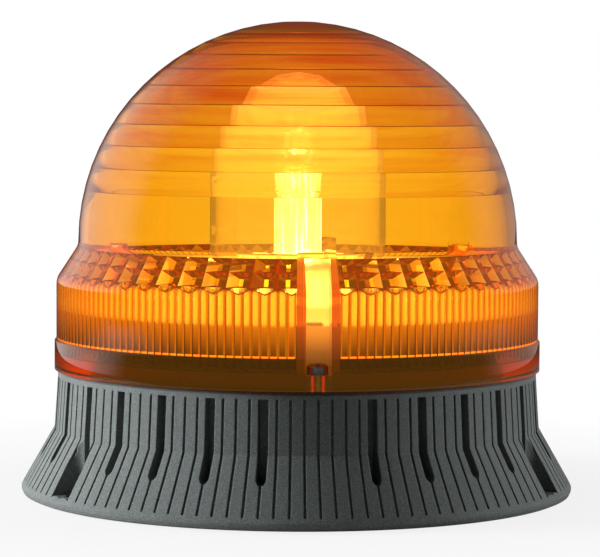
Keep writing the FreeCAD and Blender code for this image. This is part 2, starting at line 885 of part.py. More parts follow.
def inner_cover():
    """A clear domed cover with a foot flange, and the ring that clamps it."""
    low = "plate_top"
    bore = "(cover_radius - cover_wall)"
    section = [
        (bore, low),
        ("cover_flange", low),
        ("cover_flange", f"{low} + cover_lip"),
        ("cover_radius", f"{low} + cover_lip"),
    ]
    section += dome_curve("cover_radius", "cover_top - cover_radius", 6)
    section += dome_curve(bore, "cover_top - cover_radius", 6)[::-1]
    turned("inner_cover", section)
    ring = [
        ("cover_flange + 0.3", low),
        ("clamp_radius", low),
        ("clamp_radius", f"{low} + clamp_height"),
        ("cover_radius + 0.4", f"{low} + clamp_height"),
        ("cover_radius + 0.4", f"{low} + cover_lip"),
        ("cover_flange + 0.3", f"{low} + cover_lip"),
    ]
    turned("cover_ring", ring)


def led_leads():
    """Two wires up from the driver board and over onto the emitter board."""
    body = new_body("led_leads")
    body.AllowCompound = True
    low = "board_top"
    level = "sink_top + emitter_board + lead_radius"
    for spread in ("lead_spread", "-lead_spread"):
        foot = disc_outline(flat_sketch(body, low), "lead_circle", spread, "lead_radius")
        extrude(body, foot, f"{level} - ({low})")
        end = disc_outline(facing_sketch(body, 0.0, "lead_end"), spread, level, "lead_radius")
        extrude(body, end, "lead_circle - lead_end")


base_housing()
foot_seal()
cable_inlet()
lens_seal()
screw_inserts()
lens()
lens_screws()
board_posts()
driver_board()
small_screws("board_screws", "board_top", "board_screw_length", "post_circle", 45.0, 4)
terminal_clamp()
board_parts()
reflector_plate()
small_screws("reflector_screws", "plate_top", "plate_screw_length", "boss_circle", FRONT, 3)
heat_sink()
emitter_board()
light_tube()
inner_cover()
led_leads()
doc.recompute()

os.makedirs("parts", exist_ok=True)
for item in doc.Objects:
    if "Invalid" in item.State or "Touched" in item.State:
        raise RuntimeError(f"{item.Name} did not build: {item.State}")
for item in parts:
    if item.Shape.isNull() or not item.Shape.isValid():
        raise RuntimeError(f"{item.Label} is not a sound solid")
    item.Shape.exportStep(f"parts/{item.Label}.step")
    print(item.Label, len(item.Shape.Solids), round(item.Shape.Volume, 1))
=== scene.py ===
"""Looks of the amber strobe beacon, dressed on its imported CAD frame."""

import math

import bmesh
import bpy
from mathutils import Matrix, Vector


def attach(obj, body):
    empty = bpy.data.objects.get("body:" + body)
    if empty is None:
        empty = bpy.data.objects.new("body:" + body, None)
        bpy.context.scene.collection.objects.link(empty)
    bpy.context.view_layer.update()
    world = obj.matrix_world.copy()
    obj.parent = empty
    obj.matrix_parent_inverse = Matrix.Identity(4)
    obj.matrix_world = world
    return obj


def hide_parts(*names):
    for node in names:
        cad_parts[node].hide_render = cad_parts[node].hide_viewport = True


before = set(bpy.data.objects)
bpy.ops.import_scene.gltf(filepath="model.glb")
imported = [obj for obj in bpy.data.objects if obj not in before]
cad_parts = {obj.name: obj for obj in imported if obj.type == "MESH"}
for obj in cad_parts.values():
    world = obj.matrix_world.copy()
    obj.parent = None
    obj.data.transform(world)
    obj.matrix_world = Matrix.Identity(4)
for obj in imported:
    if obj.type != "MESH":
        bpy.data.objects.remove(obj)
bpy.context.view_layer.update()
scene = bpy.context.scene
MM = 0.001

# Lens sizes in millimetres and degrees
THIRDS = (-90.0, 30.0, 150.0)
FOOT, LENS_TOP = 33.6, 127.8
FLANGE_TOP = 37.6
RIM_RADIUS, RIM_TOP = 66.1, 41.7
COLLAR_RADIUS = 65.6
DOME_RADIUS, DOME_INSIDE, DOME_HEIGHT = 59.7, 57.2, 68.1
DOME_ROWS, DOME_ROW_TURN = 18, 5.0
STEP_START, STEP_TURN, STEP_COUNT = 13.2, 6.4, 10
SHOULDER_TOP, SHOULDER_LOW = (57.5, 65.7), (62.6, 58.6)
RIB_PITCH, RIB_ROOT, RIB_HALF, RIB_RISE = 2, 63.1, 1.09, 0.8
RIB_BENDS = (-1.0, -0.76, -0.44, -0.15, 0.15, 0.44, 0.76)
PRISM_PITCH, PRISM_DEPTH = 6.0, 2.1
PRISM_INWARD = Vector((-0.837, -0.547))
PRISM_TIP = ((0.13, -0.5), (0.13, 0.5), (0.37, 0.5), (0.37, -0.5))
SCALLOP_DEPTH = 0.9
BLOCK_RADIUS, BLOCK_TURN, BLOCK_EDGE = 57.1, 4.8, 4.82
BLOCK_WALL_TURN, COLLAR_WALL_TURN = 3.2, 2.0
CHANNEL_FLOOR, CHANNEL_OUT, CHANNEL_HALF, CHANNEL_TOP = 59.1, 70.0, 3.2, 66.3
SCREW_CIRCLE, SCREW_HOLE = 62.2, 1.8

# Lens zones with their painted shade, roughness and painted glow
CLEAR, SEAT, WALL, PRISM, RIM, RIB, CROWN, WINDOW, RIB_END, ROOT = range(10)
# Painted shade: darker lens seat, channel walls, prism sides, rim, rib roots and crown, and slightly
# darker rib crests
LENS_PAINTED_SHADE = {
    SEAT: (0.35, 0.3, 0.3),
    WALL: (0.42, 0.2, 0.18),
    PRISM: (0.42, 0.2, 0.16),
    RIM: (0.8, 0.72, 0.7),
    RIB: (1.0, 0.92, 0.88),
    ROOT: (0.5, 0.22, 0.18),
    CROWN: (0.62, 0.24, 0.7),
}
LENS_HAZE = {SEAT: 0.1, WALL: 0.05, RIM: 0.03, RIB: 0.24, WINDOW: 0.14}
# Painted glow on the screw windows, channel walls and ribs, a painted highlight at the rib ends, and a
# faint painted glow on all other faces
LENS_GLOW = {WINDOW: 0.6, WALL: 0.2, RIB: 0.28, RIB_END: 5.0}
PLAIN_PAINTED_SHADE, PLAIN_HAZE, PLAIN_GLOW = (1.0, 1.0, 1.0), 0.01, 0.02
GLOW_LOW, GLOW_HIGH = 39.0, 50.0
CROWN_LOW, CROWN_HIGH = 86.0, 112.0
STREAK_LOW, STREAK_HIGH = 80.0, 106.0
STREAK_STRETCH = (0.2, 0.2, 6.0)
# Strength of the painted glow inside the lens plastic
CARRIED_LIGHT = 7.0
SMOOTH_BELOW = 32

# Lamp, base and studio
# Heights between which the painted lamp light on the drum's top rises
DRUM_LIT_LOW, DRUM_TOP = 42.5, 49.0
LAMP_WARM = (1.0, 0.88, 0.6, 1)
SIDES = ("front", "right", "left")
AFTER_BOUNCE = 0.3
ROOM_LIGHT = 0.035
PANELS = ((-0.75, 1.0), (0.75, 0.35))
FLOOR_EDGE, FLOOR_DROP = 3.0, 0.0005
LAMP_TARGET, LAMP_SPREAD = (0, 0, 0.05), 60
CAMERA_AWAY, CAMERA_HEIGHT = 0.676, 0.098
CAMERA_AZIMUTH, CAMERA_PITCH, CAMERA_ROLL, CAMERA_YAW = -4.7, -3.4, 0.3, 0.058


def new_material(name, **sockets):
    material = bpy.data.materials.new(name)
    material.use_nodes = True
    for socket, value in sockets.items():
        shader_of(material).inputs[socket.replace("_", " ")].default_value = value
    return material


def shader_of(material):
    return material.node_tree.nodes["Principled BSDF"]


def output_of(material):
    return material.node_tree.nodes["Material Output"]


def add_node(owner, kind, **settings):
    """A node in a material or world, with its sockets and settings by name."""
    node = owner.node_tree.nodes.new(kind)
    for key, value in settings.items():
        socket = key.replace("_", " ")
        if socket in node.inputs:
            node.inputs[socket].default_value = value
        else:
            setattr(node, key, value)
    return node


def link(owner, source, target):
    owner.node_tree.links.new(source, target)


def math_node(owner, operation, first, second):
    node = add_node(owner, "ShaderNodeMath", operation=operation)
    link(owner, first, node.inputs[0])
    link(owner, second, node.inputs[1])
    return node.outputs["Value"]


def vector_node(owner, operation, source, other=None):
    node = add_node(owner, "ShaderNodeVectorMath", operation=operation)
    link(owner, source, node.inputs[0])
    if other is not None:
        node.inputs[1].default_value = other
    return node


def range_node(owner, source, **settings):
    span = add_node(owner, "ShaderNodeMapRange", **settings)
    link(owner, source, span.inputs["Value"])
    return span.outputs["Result"]


def place_coords(material):
    return add_node(material, "ShaderNodeTexCoord").outputs["Object"]


def height_range(material, low, high, bottom, top):
    """A value that runs from one level to another between two heights in millimetres."""
    parts = add_node(material, "ShaderNodeSeparateXYZ")
    link(material, place_coords(material), parts.inputs["Vector"])
    ends = {"From_Min": low * MM, "From_Max": high * MM, "To_Min": bottom, "To_Max": top}
    return range_node(material, parts.outputs["Z"], **ends)


def axis_distance(material):
    """Distance from the upright axis."""
    flat = vector_node(material, "MULTIPLY", place_coords(material), (1.0, 1.0, 0.0))
    return vector_node(material, "LENGTH", flat.outputs["Vector"]).outputs["Value"]


def ramp_node(material, source, stops):
    ramp = add_node(material, "ShaderNodeValToRGB")
    elements = ramp.color_ramp.elements
    while len(elements) < len(stops):
        elements.new(0.5)
    for element, (position, colour) in zip(elements, stops):
        element.position = position
        element.color = (*colour, 1.0)
    link(material, source, ramp.inputs["Fac"])
    return ramp.outputs["Color"]


def noise_node(material, coords, scale, detail):
    noise = add_node(material, "ShaderNodeTexNoise", Scale=scale, Detail=detail)
    link(material, coords, noise.inputs["Vector"])
    return noise.outputs["Fac"]


def add_bump(material, height, strength, distance):
    bump = add_node(material, "ShaderNodeBump", Strength=strength, Distance=distance)
    link(material, height, bump.inputs["Height"])
    link(material, bump.outputs["Normal"], shader_of(material).inputs["Normal"])
    return bump


def add_emission(material, colour, strength):
    """Emission of one colour whose strength varies over the surface."""
    shader_of(material).inputs["Emission Color"].default_value = colour
    link(material, strength, shader_of(material).inputs["Emission Strength"])


def speckled(name, dark, light, roughness, grain, bump=0.4, **sockets):
    """A moulded or painted surface with fine grain."""
    material = new_material(name, Roughness=roughness, **sockets)
    fine = noise_node(material, place_coords(material), grain, 3.0)
    colour = ramp_node(material, fine, [(0.35, dark), (0.65, light)])
    link(material, colour, shader_of(material).inputs["Base Color"])
    add_bump(material, fine, bump, 0.0001)
    return material


def clear_material(name, absorb, density, ior, roughness):
    """Clear plastic or glass tinted through its depth."""
    material = new_material(name, Base_Color=(1, 1, 1, 1), Roughness=roughness, IOR=ior)
    shader_of(material).inputs["Transmission Weight"].default_value = 1.0
    volume = add_node(material, "ShaderNodeVolumeAbsorption", Color=(*absorb, 1.0), Density=density)
    link(material, volume.outputs["Volume"], output_of(material).inputs["Volume"])
    return material


def around(radius, turn, height):
    """A point in metres from a radius, an angle in degrees and a height."""
    a = math.radians(turn)
    return radius * MM * math.cos(a), radius * MM * math.sin(a), height * MM


def lens_columns():
    """Angle, whether it lies in a screw channel's block, and rib height of each column in a third."""
    columns = [(BLOCK_TURN * step / 3, True, 0.0) for step in range(-3, 4)]
    columns.append((BLOCK_EDGE, False, 0.0))
    bow = (RIB_HALF * RIB_HALF + RIB_RISE * RIB_RISE) / (2 * RIB_RISE)
    for middle in range(6, 116, RIB_PITCH):
        for side in RIB_BENDS:
            height = math.sqrt(bow ** 2 - (RIB_HALF * side) ** 2) - (bow - RIB_RISE)
            columns.append((middle + side, False, max(height, 0.0)))
    columns.append((115.0, False, 0.0))
    columns.append((120.0 - BLOCK_EDGE, False, 0.0))
    return columns


def dome_outside():
    """Outside of the lens from its foot to its top, as radius and height."""
    points = [(RIM_RADIUS, FOOT), (RIM_RADIUS, 41.2), (65.95, 41.45), (COLLAR_RADIUS, RIM_TOP)]
    points += [(COLLAR_RADIUS, 44.0), (COLLAR_RADIUS, 56.4)]
    points += [(65.55, 57.2), (65.38, 58.0), (65.05, 58.8), (64.6, 59.5)]
    points += [(62.4, 62.9), (60.4, 65.95), (60.0, 66.7), (59.78, 67.4)]
    for row in range(DOME_ROWS):
        angle = math.radians(row * DOME_ROW_TURN)
        points.append((DOME_RADIUS * math.cos(angle), DOME_HEIGHT + DOME_RADIUS * math.sin(angle)))
    return points


def inside_point(turn):
    angle = math.radians(turn)
    return DOME_INSIDE * math.cos(angle), DOME_HEIGHT + DOME_INSIDE * math.sin(angle)


def fresnel_inside():
    """Stepped inside of the dome from its top down to the shoulder, and the height of its crown."""
    rings = [inside_point(STEP_START + STEP_TURN * ring) for ring in range(STEP_COUNT + 1)]
    points = []
    for (wide, low), (narrow, high) in reversed(list(zip(rings, rings[1:]))):
        step = wide - narrow
        points.append((narrow + 0.12 * step, high))
        points.append((narrow + 0.85 * step, low + 0.15))
        points.append((narrow + 0.85 * step + 0.1, low))
    points.append(rings[0])
    points.append(inside_point(STEP_START / 2))
    points.append((DOME_INSIDE, DOME_HEIGHT))
    return rings[STEP_COUNT][1], points


def rib_rows():
    """Rows down the collar's inside: depth below the rib tops or fixed height, and share of the rib."""
    tops = [(0.3, None, 0.0), (0.7, None, 0.8), (1.3, None, 1.0)]
    sides = [(None, 50.0, 1.0), (None, 42.6, 1.0)]
    feet = [(None, 42.1, 0.92), (None, 41.65, 0.68), (None, 41.35, 0.36), (None, 41.2, 0.0)]
    return tops + sides + feet + [(None, 38.0, 0.0)]


def shoulder_point(share):
    """Radius and height at a share of the way down the shoulder's inside."""
    return [top + share * (low - top) for top, low in zip(SHOULDER_TOP, SHOULDER_LOW)]


def scallop(angle):
    """How far the prisms dip into the rib tops at an angle."""
    half = PRISM_PITCH / 2
    away = abs((angle + half) % PRISM_PITCH - half) / half
    return SCALLOP_DEPTH * max(0.0, 1.0 - 1.3 * away)


def lens_mesh():
    """The lens before its channels are cut, as rings of points joined by faces."""
    columns = [(third + a, a, block, rib) for third in THIRDS for a, block, rib in lens_columns()]
    count = len(columns)
    mesh = bmesh.new()
    zone = mesh.faces.layers.int.new("zone")

    def ring(place):
        row = []
        for turn, angle, block, rib in columns:
            radius, height = place(angle, block, rib)
            row.append(mesh.verts.new(around(radius, turn, height)))
        return row

    def stepped_ring(radius, height):
        return ring(lambda angle, block, rib: (BLOCK_RADIUS if block else radius, height))

    def rib_ring(below, height, share):
        def place(angle, block, rib):
            z = height if below is None else SHOULDER_LOW[1] - below - scallop(angle)
            return (BLOCK_RADIUS if block else RIB_ROOT - share * rib), z
        return ring(place)

    def skin(upper, lower):
        for j in range(count):
            k = (j + 1) % count
            mesh.faces.new((upper[j], upper[k], lower[k], lower[j]))

    def cap(row, height):
        top = mesh.verts.new((0, 0, height * MM))
        for j in range(count):
            mesh.faces.new((row[j], row[(j + 1) % count], top))

    outside = [ring(lambda angle, block, rib, p=p: p) for p in dome_outside()]
    for low, high in zip(outside, outside[1:]):
        skin(high, low)
    cap(outside[-1], LENS_TOP)
    crown, steps = fresnel_inside()
    inside = [ring(lambda angle, block, rib, p=p: p) for p in steps]
    cap(inside[0], crown)
    for high, low in zip(inside, inside[1:]):
        skin(high, low)
    shoulder = [stepped_ring(*shoulder_point(share)) for share in (0.0, 0.5, 1.0)]
    skin(inside[-1], shoulder[0])
    prisms(mesh, columns, shoulder[0], shoulder[1], 0.0)
    prisms(mesh, columns, shoulder[1], shoulder[2], 0.5)
    rows = [shoulder[2]] + [rib_ring(*row) for row in rib_rows()]
    for radius, height in ((62.7, FLANGE_TOP), (BLOCK_RADIUS, 37.55), (BLOCK_RADIUS, FOOT)):
        rows.append(stepped_ring(radius, height))
    for upper, lower in zip(rows, rows[1:]):
        skin(upper, lower)
    skin(rows[-1], outside[0])
    for face in mesh.faces:
        face[zone] = face[zone] or lens_zone(face)
    bmesh.ops.recalc_face_normals(mesh, faces=mesh.faces)
    data = bpy.data.meshes.new("amber_dome")
    mesh.to_mesh(data)
    mesh.free()
    return data


def channel_aside(spot):
    """Degrees between a point and the nearest screw channel."""
    turn = math.degrees(math.atan2(spot.y, spot.x))
    return min(abs((turn - third + 180.0) % 360.0 - 180.0) for third in THIRDS)


def lens_zone(face):
    """Zone of a lens face other than a prism's."""
    heights = [v.co.z / MM for v in face.verts]
    low, high = min(heights), max(heights)
    middle = face.calc_center_median()
    away = middle.xy.length / MM
    inner = abs(away - BLOCK_RADIUS) < 0.2
    if high < FOOT + 0.05 or inner and high < FLANGE_TOP + 0.1:
        return SEAT
    if away > COLLAR_RADIUS - 0.1 and high < RIM_TOP + 0.1:
        return RIM
    if 61.9 < away < 63.3 and 37.9 < low and high < 58.0:
        return rib_zone(away, low, high)
    if high > CROWN_LOW and math.hypot(away, middle.z / MM - DOME_HEIGHT) < DOME_RADIUS - 0.7:
        return CROWN
    aside = channel_aside(middle)
    block_side = inner and BLOCK_WALL_TURN < aside < BLOCK_TURN and low < 65.0
    collar_side = away > 59.9 and COLLAR_WALL_TURN < aside < BLOCK_TURN and high < 66.8
    return WALL if block_side or collar_side else CLEAR


def rib_zone(away, low, high):
    """Rounded end, root or crest of a rib."""
    # Rib ends carry a painted highlight; rib roots carry painted shade as dark lines between the ribs
    if 41.6 < low and high < 42.2 and away < 62.72:
        return RIB_END
    return ROOT if away > 62.75 else RIB


def prisms(mesh, columns, upper, lower, start):
    """One row of blunt pyramids between two rings of the shoulder."""
    zone = mesh.faces.layers.int["zone"]
    slants = []
    for (third, number), span in prism_cells(mesh, columns, upper, lower).items():
        ends = columns[span[0]][1], columns[span[-1] + 1][1]
        middle = (ends[0] + ends[1]) / 2 if number in (1, 19) else number * PRISM_PITCH
        centres = [(columns[j][1] + columns[j + 1][1]) / 2 for j in span]
        tips = []
        for share, side in PRISM_TIP:
            radius, height = Vector(shoulder_point(start + share)) + PRISM_INWARD * PRISM_DEPTH
            tips.append(mesh.verts.new(around(radius, third + middle + side, height)))
        mesh.faces.new(tips)
        for row, (near, far) in ((upper, (0, 1)), (lower, (3, 2))):
            for j, centre in zip(span, centres):
                slants.append((row[j], row[j + 1], tips[near if centre < middle else far]))
            turn_at = next(j for j, centre in zip(span, centres) if centre >= middle)
            slants.append((row[turn_at], tips[far], tips[near]))
        first, last = span[0], span[-1] + 1
        slants.append((upper[first], tips[0], tips[3], lower[first]))
        slants.append((upper[last], tips[1], tips[2], lower[last]))
    for corners in slants:
        mesh.faces.new(corners)[zone] = PRISM


def prism_cells(mesh, columns, upper, lower):
    """Columns under each prism, by third and number. Columns at the channel blocks are closed plainly."""
    cells = {}
    for j, (turn, angle, block, _) in enumerate(columns):
        k = (j + 1) % len(columns)
        after = columns[k][1]
        if block or columns[k][2] or after < angle:
            mesh.faces.new((upper[j], upper[k], lower[k], lower[j]))
            continue
        number = int(((angle + after) / 2 + PRISM_PITCH / 2) // PRISM_PITCH)
        cells.setdefault((round(turn - angle), number), []).append(j)
    return cells


def channel_cutter(turn):
    """Box that cuts a screw channel, with its side walls and its window marked."""
    mesh = bmesh.new()
    bmesh.ops.create_cube(mesh, size=1.0)
    for v in mesh.verts:
        x = CHANNEL_FLOOR if v.co.x < 0 else CHANNEL_OUT
        y = -CHANNEL_HALF if v.co.y < 0 else CHANNEL_HALF
        z = FLANGE_TOP if v.co.z < 0 else CHANNEL_TOP
        v.co = Vector((x, y, z)) * MM
    zone = mesh.faces.layers.int.new("zone")
    for face in mesh.faces:
        face.normal_update()
        face[zone] = WALL if abs(face.normal.y) > 0.5 else WINDOW if face.normal.x < -0.5 else CLEAR
    bmesh.ops.rotate(mesh, verts=mesh.verts, matrix=Matrix.Rotation(math.radians(turn), 3, "Z"))
    return mesh


def hole_cutter(turn):
    """Rod that cuts a screw hole through the flange."""
    low, high = 30.0, 38.5
    radius = SCREW_HOLE * MM
    sizes = {"radius1": radius, "radius2": radius, "depth": (high - low) * MM}
    mesh = bmesh.new()
    bmesh.ops.create_cone(mesh, cap_ends=True, segments=32, **sizes)
    bmesh.ops.translate(mesh, verts=mesh.verts, vec=around(SCREW_CIRCLE, turn, (low + high) / 2))
    return mesh


def cut_channels(lens):
    """Cuts the three screw channels and their holes out of the collar."""
    helpers = []
    for third in THIRDS:
        for tool in (channel_cutter(third), hole_cutter(third)):
            data = bpy.data.meshes.new("cutter")
            tool.to_mesh(data)
            tool.free()
            helper = bpy.data.objects.new("cutter", data)
            scene.collection.objects.link(helper)
            cut = lens.modifiers.new("cut", "BOOLEAN")
            cut.operation = "DIFFERENCE"
            cut.solver = "EXACT"
            cut.object = helper
            helpers.append(helper)
    graph = bpy.context.evaluated_depsgraph_get()
    data = bpy.data.meshes.new_from_object(lens.evaluated_get(graph))
    lens.modifiers.clear()
    lens.data = data
    for helper in helpers:
        bpy.data.objects.remove(helper)


def amber_plastic():
    """Amber clear plastic that takes its painted shade, roughness and painted glow face by face."""
    amber = clear_material("amber_clear", (0.9916, 0.835, 0.05), 1000.0, 1.55, PLAIN_HAZE)
    # Painted glow, face by face, rising from the lens foot to the top of the collar
    glow = add_node(amber, "ShaderNodeAttribute", attribute_name="glow")
    rise = height_range(amber, GLOW_LOW, GLOW_HIGH, 0.2, 1.0)
    add_emission(amber, (1.0, 0.28, 0.04, 1), math_node(amber, "MULTIPLY", glow.outputs["Fac"], rise))
    # Painted shade, face by face, multiplied into the glass colour
    painted_shade = add_node(amber, "ShaderNodeAttribute", attribute_name="painted_shade")
    link(amber, streaked(amber, painted_shade.outputs["Color"]), shader_of(amber).inputs["Base Color"])
    haze = add_node(amber, "ShaderNodeAttribute", attribute_name="haze")
    link(amber, haze.outputs["Fac"], shader_of(amber).inputs["Roughness"])
    carry_light(amber)
    return amber


def streaked(material, colour):
    """The colour with level streaks over it that grow towards the crown."""
    level = vector_node(material, "MULTIPLY", place_coords(material), STREAK_STRETCH)
    streaks = noise_node(material, level.outputs["Vector"], 100.0, 3.0)
    stops = [(0.36, (0.9, 0.56, 0.5)), (0.5, (1.0, 1.0, 1.0))]
    mix = add_node(material, "ShaderNodeMix", data_type="RGBA", blend_type="MULTIPLY")
    factor, first, second = mix.inputs["Factor"], mix.inputs[6], mix.inputs[7]
    link(material, height_range(material, STREAK_LOW, STREAK_HIGH, 0.0, 1.0), factor)
    link(material, colour, first)
    link(material, ramp_node(material, streaks, stops), second)
    return mix.outputs[2]


def carry_light(material):
    """Painted glow inside the plastic, standing for light carried inside it, which shows most where the
    plastic is deep.
    """
    volume = output_of(material).inputs["Volume"]
    absorption = volume.links[0].from_socket
    carried = add_node(material, "ShaderNodeEmission", Color=(1.0, 0.9, 0.14, 1), Strength=CARRIED_LIGHT)
    both = add_node(material, "ShaderNodeAddShader")
    link(material, absorption, both.inputs[0])
    link(material, carried.outputs["Emission"], both.inputs[1])
    link(material, both.outputs["Shader"], volume)


def face_painted_shade(face, zone):
    """Painted shade of a face. The crown's darkens with height."""
    painted_shade = LENS_PAINTED_SHADE.get(zone, PLAIN_PAINTED_SHADE)
    if zone != CROWN:
        return painted_shade
    share = (face.center.z / MM - CROWN_LOW) / (CROWN_HIGH - CROWN_LOW)
    share = min(max(share, 0.0), 1.0)
    return [1.0 + (c - 1.0) * share for c in painted_shade]


def finish_lens(data):
    """Writes each face's painted shade, haze and painted glow from its zone."""
    zones = [item.value for item in data.attributes["zone"].data]
    painted_shades = []
    for face, zone in zip(data.polygons, zones):
        painted_shades += face_painted_shade(face, zone)
    hazes = [LENS_HAZE.get(zone, PLAIN_HAZE) for zone in zones]
    glows = [LENS_GLOW.get(zone, PLAIN_GLOW) for zone in zones]
    data.attributes.new("painted_shade", "FLOAT_VECTOR", "FACE")
    data.attributes.new("haze", "FLOAT", "FACE")
    data.attributes.new("glow", "FLOAT", "FACE")
    data.attributes["painted_shade"].data.foreach_set("vector", painted_shades)
    data.attributes["haze"].data.foreach_set("value", hazes)
    data.attributes["glow"].data.foreach_set("value", glows)


def build_lens():
    lens = bpy.data.objects.new("amber_dome", lens_mesh())
    scene.collection.objects.link(lens)
    cut_channels(lens)
    lens.data.shade_smooth()
    lens.data.set_sharp_from_angle(angle=math.radians(SMOOTH_BELOW))
    lens.data.materials.clear()
    finish_lens(lens.data)
    lens.data.materials.append(amber_plastic())
    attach(lens, "lens")
    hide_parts("lens")


def dress(names, material):
    for name in names:
        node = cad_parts[name]
        node.data.materials.clear()
        node.data.materials.append(material)


def spark_grey():
    """Dark grey moulding with a fine grain and softly worn edges, with painted lamp light at the drum's
    top.
    """
    housing = new_material("housing_grey", Roughness=0.48)
    sparks = noise_node(housing, place_coords(housing), 5200.0, 1.0)
    stops = [(0.3, (0.055, 0.066, 0.064)), (0.55, (0.1, 0.114, 0.111)), (0.72, (0.22, 0.238, 0.234))]
    link(housing, ramp_node(housing, sparks, stops), shader_of(housing).inputs["Base Color"])
    edge = add_node(housing, "ShaderNodeBevel", samples=6, Radius=0.0004)
    bump = add_bump(housing, sparks, 0.5, 0.00015)
    link(housing, edge.outputs["Normal"], bump.inputs["Normal"])
    # Painted lamp light on the drum's top, as emission
    spill = height_range(housing, DRUM_LIT_LOW, DRUM_TOP, 0.0, 0.5)
    add_emission(housing, (1.0, 0.42, 0.12, 1), spill)
    return housing


def lit_emitters():
    """Phosphor caps, the middle one far brighter than the ring."""
    glow = speckled("emitter", (0.9, 0.7, 0.25), (1.0, 0.82, 0.35), 0.4, 4000.0, 0.2)
    ends = {"From_Min": 0.005, "From_Max": 0.007, "To_Min": 40.0, "To_Max": 2.5}
    add_emission(glow, LAMP_WARM, range_node(glow, axis_distance(glow), **ends))
    return glow


def lit_plate():
    """White plate with painted light, brightest round the emitters."""
    plate = speckled("white_plate", (0.76, 0.76, 0.74), (0.84, 0.84, 0.82), 0.4, 1500.0, 0.1)
    ends = {"From_Min": 0.02, "From_Max": 0.054, "To_Min": 1.1, "To_Max": 0.4}
    add_emission(plate, (1.0, 0.72, 0.4, 1), range_node(plate, axis_distance(plate), **ends))
    return plate


def lit_cover():
    """Clear brownish inner cover with a painted glow, strongest at its top."""
    cover = clear_material("cover_clear", (0.62, 0.4, 0.2), 130.0, 1.45, 0.02)
    add_emission(cover, (1.0, 0.72, 0.45, 1), height_range(cover, 78.0, 104.0, 0.1, 0.45))
    return cover


def lit_tube():
    """Clear tube with bright streaks that fade towards its top."""
    tube = clear_material("tube_clear", (0.95, 0.97, 0.97), 8.0, 1.5, 0.02)
    stretch = add_node(tube, "ShaderNodeMapping", Scale=(520.0, 520.0, 24.0))
    link(tube, place_coords(tube), stretch.inputs["Vector"])
    streaks = noise_node(tube, stretch.outputs["Vector"], 1.0, 3.0)
    fade = height_range(tube, 62.0, 90.0, 1.3, 0.4)
    peak = range_node(tube, streaks, From_Min=0.58, From_Max=0.70, To_Min=0.7, To_Max=14.0)
    add_emission(tube, (0.8, 0.72, 1.0, 1), math_node(tube, "MULTIPLY", fade, peak))
    return tube


def dress_base():
    dress(["base_housing"], spark_grey())
    dress(["mounting_gasket"], speckled("foam", (0.02,) * 3, (0.06,) * 3, 0.9, 3000.0))
    dress(["cable_grommet", "lens_gasket"], speckled("rubber", (0.012,) * 3, (0.03,) * 3, 0.7, 2500.0))
    brass = speckled("brass", (0.6, 0.42, 0.16), (0.72, 0.52, 0.22), 0.3, 900.0, 0.1, Metallic=1.0)
    dress(["screw_inserts", "standoffs"], brass)
    light_steel = (0.38, 0.38, 0.37)
    steel = speckled("plated_steel", (0.26,) * 3, light_steel, 0.35, 1500.0, 0.15, Metallic=1.0)
    dress(["board_screws", "terminal_screws", "reflector_screws"], steel)
    dress([f"lens_screw_{side}" for side in SIDES], steel)
    nylon = speckled("nylon", (0.3, 0.29, 0.26), (0.38, 0.37, 0.33), 0.5, 1500.0, 0.1)
    dress([f"screw_washer_{side}" for side in SIDES], nylon)


def dress_board():
    mask = speckled("board_mask", (0.02, 0.13, 0.05), (0.03, 0.2, 0.08), 0.35, 700.0, 0.1)
    dress(["driver_board"], mask)
    green = speckled("terminal_green", (0.03, 0.2, 0.06), (0.05, 0.26, 0.09), 0.5, 1500.0, 0.2)
    dress(["terminal_block"], green)
    sleeve = speckled("sleeve", (0.01, 0.01, 0.04), (0.03, 0.03, 0.08), 0.35, 900.0, 0.1)
    dress(["bulk_capacitor"], sleeve)
    copper = (0.32, 0.12, 0.04), (0.5, 0.2, 0.08)
    dress(["choke"], speckled("winding", *copper, 0.3, 1800.0, 0.4, Metallic=0.8))
    chips = speckled("mould_black", (0.012,) * 3, (0.03,) * 3, 0.5, 2500.0, 0.2)
    dress(["bridge_rectifier", "fuse", "controller_chip", "power_transistor"], chips)


def dress_lamp():
    dress(["reflector_plate", "cover_ring"], lit_plate())
    # Painted lamp glow on the heat sink, as emission, with half-metal sheen
    metal_and_painted_glow = {"Metallic": 0.5, "Emission_Color": LAMP_WARM, "Emission_Strength": 1.2}
    alloy = speckled("alloy", (0.6, 0.61, 0.62), (0.72, 0.73, 0.74), 0.35, 1200.0, 0.15, **metal_and_painted_glow)
    dress(["heat_sink"], alloy)
    mask = speckled("white_mask", (0.78, 0.78, 0.75), (0.86, 0.86, 0.84), 0.4, 1000.0, 0.1)
    dress(["led_board"], mask)
    red = speckled("lead_red", (0.3, 0.02, 0.02), (0.42, 0.03, 0.03), 0.45, 1200.0, 0.1)
    dress(["led_leads"], red)
    dress(["led_emitters"], lit_emitters())
    dress(["light_tube"], lit_tube())
    dress(["inner_cover"], lit_cover())


def background_rays(owner, mirrored=None):
    """How white the background is to a ray: from the camera, through clear plastic, and mirrored."""
    rays = add_node(owner, "ShaderNodeLightPath").outputs
    straight = math_node(owner, "MAXIMUM", rays["Is Camera Ray"], rays["Is Transmission Ray"])
    bounced = math_node(owner, "MAXIMUM", rays["Diffuse Depth"], rays["Glossy Depth"])
    dimmed = range_node(owner, bounced, To_Min=1.0, To_Max=AFTER_BOUNCE)
    direct = math_node(owner, "MULTIPLY", straight, dimmed)
    if mirrored is None:
        return direct
    shown = math_node(owner, "MULTIPLY", rays["Is Glossy Ray"], mirrored)
    return math_node(owner, "MAXIMUM", direct, shown)


